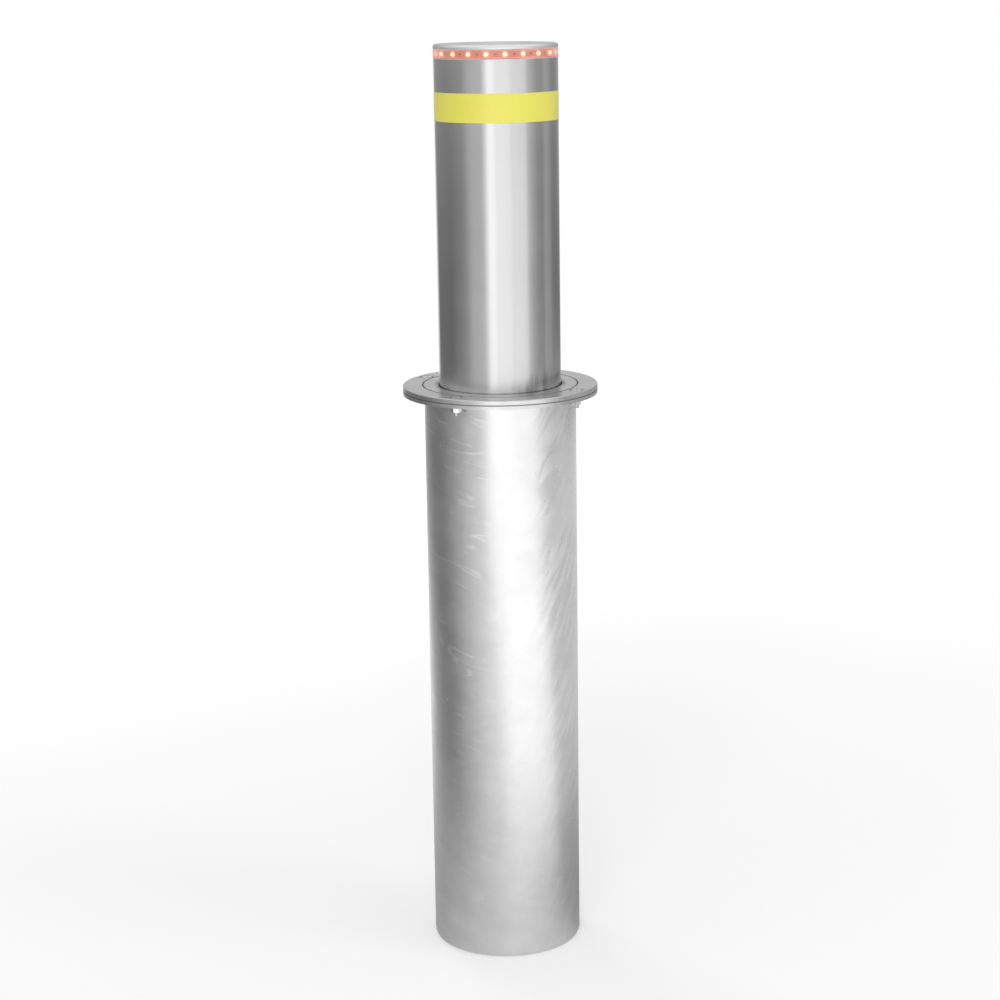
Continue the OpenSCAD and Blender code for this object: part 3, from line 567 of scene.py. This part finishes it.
def make_pale_silicone():
    """Milky silicone with a faint painted red glow for the diodes' light."""
    # Painted glow: the gaskets' emission stands in for the diodes' light on them.
    material, tree, sockets, place = start_material("pale_silicone", Roughness=0.4, Emission_Strength=0.18)
    milk = noise(tree, place, 200.0, 2.0)
    colour(tree, sockets, milk, (0.50, 0.40, 0.37, 1.0), (0.66, 0.56, 0.53, 1.0))
    colour(tree, sockets, milk, (0.8, 0.3, 0.25, 1.0), (0.9, 0.4, 0.3, 1.0), "Emission Color")
    return material


dress(make_black_rubber(), "wiper_seal", "landing_buffers", "piston_seals", "rod_wiper")
dress(make_pale_silicone(), "lens_gaskets")


# Guides: the bush under the ring, and the shoes and forks on the column's foot.
# Machined from dark nylon, satin, with faint tool marks.

def make_dark_nylon():
    """Dark satin plastic with faint turning marks and rubbed patches."""
    material, tree, sockets, place = start_material("dark_nylon")
    marks = use(tree, flow_marks, place, Lean=0.0, Fineness=25.0, Stretch=0.02)
    rubbed = window(tree, noise(tree, place, 40.0, 4.0), 0.5, 0.7)
    colour(tree, sockets, rubbed, grey(0.03), grey(0.07))
    roughness(tree, sockets, rubbed, 0.48, 0.32)
    raise_surface(tree, sockets, marks["Value"], 0.00008)
    return material


dress(make_dark_nylon(), "upper_guide", "guide_shoes", "rail_forks")


# Plain steel inside: rails, plates, rod foot, piston and the ram's barrel, head and gland.
# Turned or sawn mild steel, bare and wiped with oil.

def make_plain_steel():
    """Bare steel: turning marks, darker oil films, and a slight brown in places."""
    material, tree, sockets, place = start_material("plain_steel", Metallic=1.0)
    marks = use(tree, flow_marks, place, Lean=0.0, Fineness=30.0, Stretch=0.012)
    film = window(tree, noise(tree, place, 22.0, 5.0), 0.4, 0.7)
    colour(tree, sockets, film, grey(0.46), (0.25, 0.235, 0.21, 1.0))
    roughness(tree, sockets, marks["Value"], 0.25, 0.5)
    raise_surface(tree, sockets, marks["Value"], 0.00004)
    return material


plain_steel = make_plain_steel()
dress(plain_steel, "guide_rails", "rod_foot", "piston", "head_plate", "bottom_ring")
dress(plain_steel, "ram_barrel", "ram_head", "ram_gland")


# Piston rod: hard chromed and polished, so that the seals last.
# It stands still on the base while the barrel slides over it.

def make_chromed_rod():
    """Polished chrome with hair-fine polishing lines round it."""
    material, tree, sockets, place = start_material("chromed_rod", Metallic=1.0)
    marks = use(tree, flow_marks, place, Lean=0.0, Fineness=20.0, Stretch=0.006)
    colour(tree, sockets, marks["Value"], grey(0.70), grey(0.86))
    roughness(tree, sockets, marks["Value"], 0.06, 0.14)
    return material


dress(make_chromed_rod(), "piston_rod")


# Column tube: stainless tube 219 mm across with a 6 mm wall, which rises out of the ground.
# It is ground round its girth with a fine belt, so reflections smear up and down, not sideways.
# Just above the ring, a few dark upright streaks on the right front are a painted reflection.

def make_belt_grain():
    """Grinding lines round the girth: noise that changes fast with height and slowly along each line."""
    takes = [("Vector", "Vector", None), ("Lines", "Float", 2200.0)]
    tree, given, out = effect("belt_grain", takes, ["Line", "Patch"])
    along = 9.0
    x, y, z = apart(tree, given["Vector"])
    drawn = joined(tree, times(tree, x, along), times(tree, y, along), times(tree, z, given["Lines"]))
    line = noise(tree, drawn, 1.0, 2.0)
    patch = noise(tree, given["Vector"], 9.0, 3.0)
    tree.links.new(line, out["Line"])
    tree.links.new(patch, out["Patch"])
    return tree


belt_grain = make_belt_grain()


def make_brushed(name, base, lines, gloss_length, smooth):
    """Stainless steel ground round its girth: the gloss is long across the lines and short along them."""
    fixed = {"Metallic": 1.0, "Anisotropic": gloss_length, "Anisotropic_Rotation": 0.25}
    material, tree, sockets, place = start_material(name, **fixed)
    grain = use(tree, belt_grain, place, Lines=lines)
    lighter = plus(tree, times(tree, grain["Line"], 0.5), times(tree, grain["Patch"], 0.5))
    colour(tree, sockets, lighter, grey(base * 0.9), grey(base * 1.1))
    roughness(tree, sockets, grain["Patch"], smooth - 0.03, smooth + 0.03)
    raise_surface(tree, sockets, grain["Line"], 0.00001)
    around = add(tree, "Tangent", direction_type="RADIAL", axis="Z").outputs[0]
    tree.links.new(around, sockets["Tangent"])
    return material


def paint_foot_reflection(material, ground_z):
    """Painted dark reflection above the ring: upright streaks on the column's right front, whose ragged top
    follows a noise.
    """
    reflection_side = (0.015, 0.045)
    reflection_depth = (-0.05, -0.09)
    reflection_edge = (0.014, -0.022)
    tree = material.node_tree
    sockets = tree.nodes["Principled BSDF"].inputs
    place = tree.nodes["Texture Coordinate"].outputs["Object"]
    side, depth, height = apart(tree, place)
    reflection_streak = noise(tree, joined(tree, side, depth, times(tree, height, 0.12)), 55.0, 4.0)
    top = plus(tree, times(tree, reflection_streak, 0.10), ground_z - 0.025)
    below = window(tree, minus(tree, height, top), *reflection_edge)
    # Painted reflection: the column's colour is darkened in upright streaks just above the ring.
    painted_dark = times(tree, window(tree, side, *reflection_side), window(tree, depth, *reflection_depth))
    painted_dark = times(tree, times(tree, painted_dark, below), window(tree, reflection_streak, 0.25, 0.7))
    clean = sockets["Base Color"].links[0].from_socket
    colour(tree, sockets, painted_dark, clean, grey(0.12))
    return material


brushed_stainless = make_brushed("brushed_stainless", 0.62, 2200.0, 0.92, 0.22)
dress(paint_foot_reflection(brushed_stainless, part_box("cover_flange")[1].z), "column_tube")


# Top cap: a stainless disc with a rounded edge, screwed to the head plate inside.
# Its face is brushed in circles, and four countersunk stainless screws sit in it.

dress(make_brushed("brushed_cap", 0.84, 900.0, 0.3, 0.45), "top_cap")


def make_stainless_screws():
    """Plain stainless with slight scuffs in the sockets."""
    material, tree, sockets, place = start_material("stainless_screws", Metallic=1.0)
    scuff = noise(tree, place, 200.0, 3.0)
    colour(tree, sockets, scuff, grey(0.56), grey(0.72))
    roughness(tree, sockets, scuff, 0.2, 0.35)
    return material


dress(make_stainless_screws(), "cap_screws")


# Clear ring: a turned polycarbonate ring between the cap and the tube, as thick as the tube's wall.
# It is clear with a faintly frosted skin, so the diodes show through it.

def make_clear_ring():
    """Clear plastic: plain transmission, a fine frosting in colour and roughness, and a faint painted red
    glow for the diodes' light.
    """
    fixed = {"Transmission_Weight": 1.0, "IOR": 1.49, "Specular_IOR_Level": 0.9, "Emission_Strength": 0.10}
    material, tree, sockets, place = start_material("clear_ring", **fixed)
    frost = noise(tree, place, 300.0, 2.0)
    colour(tree, sockets, frost, (0.90, 0.67, 0.61, 1.0), (0.94, 0.77, 0.72, 1.0))
    roughness(tree, sockets, frost, 0.14, 0.24)
    # Painted glow: the ring's faint red emission stands in for the diodes' light in the plastic.
    colour(tree, sockets, frost, (0.62, 0.14, 0.11, 1.0), (0.75, 0.24, 0.19, 1.0), "Emission Color")
    return material


dress(make_clear_ring(), "light_ring")


# Diode strip: a flexible red strip glued round the cap's hub, with twenty warm diodes.
# Each diode is a white case with a yellowish window, soldered on, with a resistor halfway to the next.

diode_count = 20
strip_low, strip_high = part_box("led_strip")
strip_z = (strip_low.z + strip_high.z) / 2


def make_round_the_strip():
    """Where a point lies on the strip: how far along from the nearest diode, and how far above its middle."""
    arc = 2 * np.pi / diode_count * strip_high.x
    tree, given, out = effect("round_the_strip", [("Vector", "Vector", None)], ["Along", "Up"])
    x, y, z = apart(tree, given["Vector"])
    turn = times(tree, calc(tree, "ARCTAN2", y, x), diode_count / (2 * np.pi))
    pitch = calc(tree, "FRACT", plus(tree, turn, diode_count * 0.75))
    tree.links.new(times(tree, minus(tree, pitch, 0.5), arc), out["Along"])
    tree.links.new(minus(tree, z, strip_z), out["Up"])
    return tree


round_the_strip = make_round_the_strip()


def make_warm_diodes():
    """White cases whose windows glow a warm yellow."""
    window_edge = (0.0024, 0.0017)
    material, tree, sockets, place = start_material("warm_diodes", Roughness=0.35, Emission_Strength=2.2)
    spot = use(tree, round_the_strip, place)
    far = calc(tree, "MAXIMUM", calc(tree, "ABSOLUTE", spot["Along"]), calc(tree, "ABSOLUTE", spot["Up"]))
    lit = window(tree, far, *window_edge)
    colour(tree, sockets, lit, grey(0.8), (0.95, 0.85, 0.4, 1.0))
    colour(tree, sockets, lit, (0.75, 0.42, 0.30, 1.0), (1.0, 0.93, 0.58, 1.0), "Emission Color")
    return material


def make_red_strip():
    """Red flexible strip with a painted glow near each diode for the diodes' light on it, and a fine weave.
    """
    near_reach = (0.016, 0.003)
    painted_glow_reach = (0.0062, 0.003)
    material, tree, sockets, place = start_material("red_strip", Roughness=0.45, Emission_Strength=1.0)
    spot = use(tree, round_the_strip, place)
    near = window(tree, calc(tree, "ABSOLUTE", spot["Along"]), *near_reach)
    painted_glow_spot = window(tree, length(tree, joined(tree, spot["Along"], spot["Up"])), *painted_glow_reach)
    weave = noise(tree, place, 1200.0, 1.0)
    colour(tree, sockets, weave, (0.46, 0.21, 0.17, 1.0), (0.56, 0.27, 0.23, 1.0))
    # Painted glow: the strip's emission brightens near each diode, standing in for the diodes' light on it.
    painted_glow_tint = tint(tree, near, (0.19, 0.135, 0.11, 1.0), (0.28, 0.19, 0.155, 1.0))
    colour(tree, sockets, painted_glow_spot, painted_glow_tint, (1.0, 0.78, 0.46, 1.0), "Emission Color")
    raise_surface(tree, sockets, weave, 0.00003)
    return material


dress(make_warm_diodes(), "leds")
dress(make_red_strip(), "led_strip")


def small_blocks(name, radius, turns, height, along, tall, thick):
    """Little soldered parts: each is a block with chamfered outer edges, set square to the strip."""
    corner = np.array([[-1, -1], [1, -1], [1, 1], [-1, 1]], float)
    layers = [(0.0, 1.0), (0.75, 1.0), (1.0, 0.85)]
    base = np.concatenate([np.c_[np.full(4, out), corner * wide] for out, wide in layers])
    local = base * [thick, along / 2, tall / 2]
    away = np.stack([np.cos(turns), np.sin(turns), turns * 0], -1)
    aside = np.stack([-np.sin(turns), np.cos(turns), turns * 0], -1)
    points = (away[:, None] * (radius + local[None, :, :1]) + aside[:, None] * local[None, :, 1:2]
              + [0, 0, 1] * (height + local[None, :, 2:]))
    faces = np.concatenate([grid_faces(len(layers), 4, closed=False), [[8, 9, 10, 11], [3, 2, 1, 0]]])
    return shape(name, points, repeated(faces, len(local), len(turns)), smooth=False)


def make_strip_parts():
    """Black resistors with a fine grain."""
    material, tree, sockets, place = start_material("strip_parts", Roughness=0.4)
    grain = noise(tree, place, 1500.0)
    colour(tree, sockets, grain, grey(0.015), grey(0.05))
    return material


resistor_size = (0.0032, 0.0016, 0.0006)
halfway = np.arange(diode_count) * 2 * np.pi / diode_count - np.pi / 2
resistors = small_blocks("strip_resistors", strip_high.x, halfway, strip_z, *resistor_size)
settle(resistors, "column", make_strip_parts())


# Reflective band: yellow reflective film 50 mm wide, laid flush in a turned recess.
# The film is clear over a field of tiny cells, whose borders show as a fine net.

def make_yellow_band():
    """Yellow film: small cells with paler borders under a clear coat."""
    fixed = {"Roughness": 0.45, "Coat_Weight": 0.7, "Coat_Roughness": 0.22}
    cell = {"Scale": 260.0, "Randomness": 0.8}
    material, tree, sockets, place = start_material("yellow_band", **fixed)
    cells = add(tree, "TexVoronoi", {"Vector": place, **cell}, feature="DISTANCE_TO_EDGE")
    border = window(tree, cells.outputs[0], 0.12, 0.03)
    fade = noise(tree, place, 12.0, 3.0)
    field = tint(tree, fade, (0.80, 0.74, 0.05, 1.0), (0.90, 0.83, 0.11, 1.0))
    colour(tree, sockets, times(tree, border, 0.2), field, (0.84, 0.82, 0.36, 1.0))
    raise_surface(tree, sockets, border, 0.00002)
    return material


dress(make_yellow_band(), "reflective_band")


# Motor and tank: the ribbed motor housing and the oil tank that hang beside the ram.
# Steel under a dark paint with a slight orange-peel skin.

def make_unit_paint():
    """Dark paint: an orange-peel normal and faint lighter scuffs."""
    material, tree, sockets, place = start_material("unit_paint", Coat_Weight=0.3, Coat_Roughness=0.15)
    peel = noise(tree, place, 420.0, 1.0)
    scuff = window(tree, noise(tree, place, 45.0, 6.0), 0.55, 0.75)
    colour(tree, sockets, scuff, (0.045, 0.05, 0.056, 1.0), (0.10, 0.105, 0.11, 1.0))
    roughness(tree, sockets, scuff, 0.34, 0.55)
    raise_surface(tree, sockets, peel, 0.00006)
    return material


dress(make_unit_paint(), "motor_housing", "oil_tank")


# Motor end cap and pump: sand-cast alloy, left as cast apart from the faces that meet.
# They are bolted to the motor below the head plate.

def make_cast_alloy():
    """Cast skin: a coarse grain in the normal, with darker hollows."""
    material, tree, sockets, place = start_material("cast_alloy", Metallic=1.0)
    grain = noise(tree, place, 700.0, 4.0, Roughness=0.7)
    colour(tree, sockets, grain, grey(0.36), grey(0.66))
    roughness(tree, sockets, grain, 0.65, 0.42)
    raise_surface(tree, sockets, grain, 0.00022)
    return material


dress(make_cast_alloy(), "motor_end_cap", "pump_body")


# Valve block and filler neck: machined alloy, with milling lines across the faces.
# The block hangs under the pump, and the neck comes up through the head plate.

def make_machined_alloy():
    """Milled alloy: fine lines along one direction, in the roughness and the normal."""
    material, tree, sockets, place = start_material("machined_alloy", Metallic=1.0)
    lines = use(tree, belt_grain, place, Lines=1500.0)
    colour(tree, sockets, lines["Line"], grey(0.60), grey(0.78))
    roughness(tree, sockets, lines["Line"], 0.22, 0.40)
    raise_surface(tree, sockets, lines["Line"], 0.00003)
    return material


dress(make_machined_alloy(), "valve_block", "tank_filler")


# Solenoid coil: a moulded black plastic shell pushed over the valve's stem.
# It has the fine spark texture of its mould.

def make_coil_plastic():
    """Black plastic with a fine mould grain."""
    material, tree, sockets, place = start_material("coil_plastic")
    grain = noise(tree, place, 1400.0, 2.0)
    colour(tree, sockets, grain, grey(0.012), grey(0.03))
    roughness(tree, sockets, grain, 0.3, 0.5)
    raise_surface(tree, sockets, grain, 0.00004)
    return material


dress(make_coil_plastic(), "solenoid_coil")


# Oil pipes: bent steel tube, zinc plated, between the tank, the valve block and the ram's head.
# The plating is satin and a little cloudy.

def make_zinc_pipe():
    """Satin plating with soft clouds in its colour, gloss and normal."""
    material, tree, sockets, place = start_material("zinc_pipe", Metallic=1.0)
    bloom = use(tree, zinc_bloom, place, Size=0.01)
    colour(tree, sockets, bloom["Cloud"], (0.52, 0.52, 0.49, 1.0), (0.80, 0.80, 0.76, 1.0))
    roughness(tree, sockets, bloom["Cloud"], 0.28, 0.42)
    raise_surface(tree, sockets, bloom["Cloud"], 0.00005)
    return material


dress(make_zinc_pipe(), "suction_pipe", "return_pipe", "pressure_pipe")


# Studio: a pale floor that keeps the shadow, and a round wall of light and dark cloth that only gloss sees.
# Both get their brightness from one plan, by direction from the object and by distance.

wall_tones = [
    (-180, 1.0), (-168, 0.9), (-158, 0.14), (-125, 0.13), (-100, 0.05), (-86, 0.06), (-68, 0.09),
    (-61, 0.33), (-56, 0.41), (-44, 0.45), (-28, 0.45), (-26, 0.9), (-20.5, 1.15), (-18.5, 1.75),
    (-7, 1.75), (-3, 1.42), (25, 1.3), (28, 1.05), (32, 1.2), (54, 1.15), (58, 0.66), (68, 0.32),
    (79, 0.12), (90, 0.08), (101, 0.29), (112, 0.23), (122, 0.1), (140, 0.12), (162, 0.25), (170, 0.9),
    (180, 1.0),
]
floor_tones = [
    (-180, 1.0), (-160, 0.5), (-130, 0.22), (-102, 0.22), (-92, 0.38), (-70, 0.6), (-52, 0.8),
    (-36, 0.85), (-26, 1.2), (-10, 1.4), (30, 1.35), (46, 1.25), (57, 0.76), (95, 0.7), (130, 0.7),
    (165, 0.78), (180, 1.0),
]
near_tones = [
    (-180, 0.6), (-130, 0.42), (-98, 0.42), (-60, 0.5), (-25, 0.64), (5, 0.74), (40, 0.68), (60, 0.57),
    (90, 0.36), (130, 0.31), (160, 0.4), (180, 0.6),
]


def tone_ramp(tree, share, stops):
    """Brightness by compass direction: each stop is degrees to the right of the front, and a brightness."""
    ramp = add(tree, "ValToRGB", {0: share})
    elements = ramp.color_ramp.elements
    while len(elements) < len(stops):
        elements.new(0.5)
    for element, (degrees, value) in zip(elements, stops):
        element.position = degrees / 360 + 0.5
        element.color = grey(value / 2)
    return times(tree, ramp.outputs[0], 2.0)


def make_studio_tone():
    """Brightness of floor and wall as gloss sees it: white in front, dark at the sides, pale behind."""
    floor_swing = 30 / 360
    wall_slant = 11 / 360
    upper_wall = (0.3, 1.5)
    wall_end = (1.95, 2.35)
    outer_floor = (0.2, 1.6)
    wall_start = (5.3, 5.95)
    tree, given, out = effect("studio_tone", [("Vector", "Vector", None)], ["Tone"])
    x, y, z = apart(tree, given["Vector"])
    radius = length(tree, joined(tree, x, y))
    turn = calc(tree, "ARCTAN2", x, times(tree, y, -1.0))
    share = plus(tree, calc(tree, "DIVIDE", turn, 2 * np.pi), 0.5)
    drift = times(tree, window(tree, radius, 4.5, 0.9), floor_swing)
    moved = calc(tree, "WRAP", minus(tree, share, drift), 1.0, 0.0)
    askew = times(tree, window(tree, z, 1.6, 0.3), window(tree, share, 0.52, 0.32))
    cloth = tone_ramp(tree, minus(tree, share, times(tree, askew, wall_slant)), wall_tones)
    dim = times(tree, window(tree, share, 0.54, 0.63), window(tree, share, 0.69, 0.66))
    dim = times(tree, dim, window(tree, z, 1.05, 1.4))
    high = plus(tree, times(tree, cloth, between(tree, dim, 0.85, 0.5)), 0.29)
    cloth = between(tree, window(tree, z, *upper_wall), cloth, high)
    above = between(tree, window(tree, y, 0.0, 4.0), 0.85, 0.42)
    cloth = between(tree, window(tree, z, *wall_end), cloth, above)
    outer = tone_ramp(tree, moved, floor_tones)
    near = tone_ramp(tree, share, near_tones)
    ground = between(tree, window(tree, radius, *outer_floor), near, outer)
    tree.links.new(between(tree, window(tree, radius, *wall_start), ground, cloth), out["Tone"])
    return tree


studio_tone = make_studio_tone()


def round_surface(name, profile):
    """A surface of turning: a line of radius and height carried round the axis."""
    sides = 128
    turn = np.linspace(0, 2 * np.pi, sides, endpoint=False)
    radius, height = np.array(profile, float).T[:, :, None]
    points = np.stack([radius * np.cos(turn), radius * np.sin(turn), height + turn * 0], -1)
    made = shape(name, points, grid_faces(len(profile), sides, closed=False))
    return made


def bare_material(name):
    """A material with no shader yet, its tree and the piece's own coordinates."""
    material = bpy.data.materials.new(name)
    material.use_nodes = True
    material.node_tree.nodes.clear()
    return material, material.node_tree, add(material.node_tree, "TexCoord").outputs["Object"]


def glow(tree, strength):
    """White light of that strength."""
    return add(tree, "Emission", {"Color": grey(1.0), "Strength": strength}).outputs[0]


def make_floor_paint():
    """Pale paint, in the studio's tones for gloss and clear plastic, and a little lighter for the camera."""
    material, tree, place = bare_material("floor_paint")
    ray = add(tree, "LightPath").outputs
    paint = add(tree, "BsdfDiffuse", {"Color": grey(0.72)}).outputs[0]
    extra = between(tree, window(tree, length(tree, place), 0.4, 5.0), 0.27, 0.56)
    lift = glow(tree, times(tree, ray["Is Camera Ray"], extra))
    seen = add(tree, "AddShader", {0: paint, 1: lift}).outputs[0]
    shown = glow(tree, use(tree, studio_tone, place)[0])
    mirrored = calc(tree, "MAXIMUM", ray["Is Glossy Ray"], ray["Is Transmission Ray"])
    mixed = add(tree, "MixShader", {0: mirrored, 1: seen, 2: shown}).outputs[0]
    add(tree, "OutputMaterial", {0: mixed})
    return material


def make_wall_cloth():
    """Cloth that glows in the studio's tones."""
    material, tree, place = bare_material("wall_cloth")
    add(tree, "OutputMaterial", {0: glow(tree, use(tree, studio_tone, place)[0])})
    return material


wall_r = 6.0
wall_top = 7.0
floor_z = -0.0005
floor = round_surface("studio_floor", [(0.0001, floor_z), (wall_r, floor_z)])
floor.data.materials.append(make_floor_paint())
wall = round_surface("studio_wall", [(wall_r, 2 * floor_z), (wall_r, wall_top)])
wall.data.materials.append(make_wall_cloth())
for ray in ("camera", "diffuse", "transmission", "volume_scatter", "shadow"):
    setattr(wall, "visible_" + ray, False)


def lamp(name, place, aim, size, power):
    """A square soft lamp that looks at a point."""
    light = bpy.data.lights.new(name, "AREA")
    light.size = size
    light.energy = power
    made = bpy.data.objects.new(name, light)
    made.location = place
    made.rotation_euler = (Vector(aim) - Vector(place)).to_track_quat("-Z", "Y").to_euler()
    made.visible_glossy = False
    bpy.context.scene.collection.objects.link(made)


middle = (0.0, 0.0, 0.9)
lamp("key_lamp", (-0.5, -3.4, 3.4), middle, 1.8, 45.0)
lamp("side_lamp", (3.0, -1.2, 2.6), middle, 1.6, 18.0)
lamp("back_lamp", (-1.6, 2.8, 3.0), middle, 1.8, 25.0)

world = bpy.data.worlds.new("studio_world")
bpy.context.scene.world = world
world.use_nodes = True
tree = world.node_tree
ray = add(tree, "LightPath").outputs
mirrored = calc(tree, "MAXIMUM", ray["Is Glossy Ray"], ray["Is Transmission Ray"])
shown = calc(tree, "MAXIMUM", ray["Is Camera Ray"], mirrored)
background = tree.nodes["Background"].inputs
background["Color"].default_value = grey(1.0)
tree.links.new(between(tree, shown, 0.68, 1.0), background["Strength"])


# Camera: at the photograph's viewing angle, 4 m in front of the bollard and a little above its top.
# It looks about 13 degrees down, and leans a little to one side, as the photograph does.

camera_data = bpy.data.cameras.new("camera")
camera_data.lens = 81.2
camera_data.sensor_width = 36.0
camera_data.shift_x = -0.0018
camera = bpy.data.objects.new("camera", camera_data)
bpy.context.scene.collection.objects.link(camera)
camera_place = (0, -4.0, 1.765)
pitch = np.radians(13.1)
roll = np.radians(-0.81)
ahead = Vector((0, np.cos(pitch), -np.sin(pitch)))
level_up = Vector((0, np.sin(pitch), np.cos(pitch)))
level_right = Vector((1, 0, 0))
right = np.cos(roll) * level_right + np.sin(roll) * level_up
up = -np.sin(roll) * level_right + np.cos(roll) * level_up
turned = Matrix((right, up, -ahead)).transposed().to_4x4()
camera.matrix_world = Matrix.Translation(camera_place) @ turned
bpy.context.scene.camera = camera
bpy.context.scene.view_settings.view_transform = "Standard"
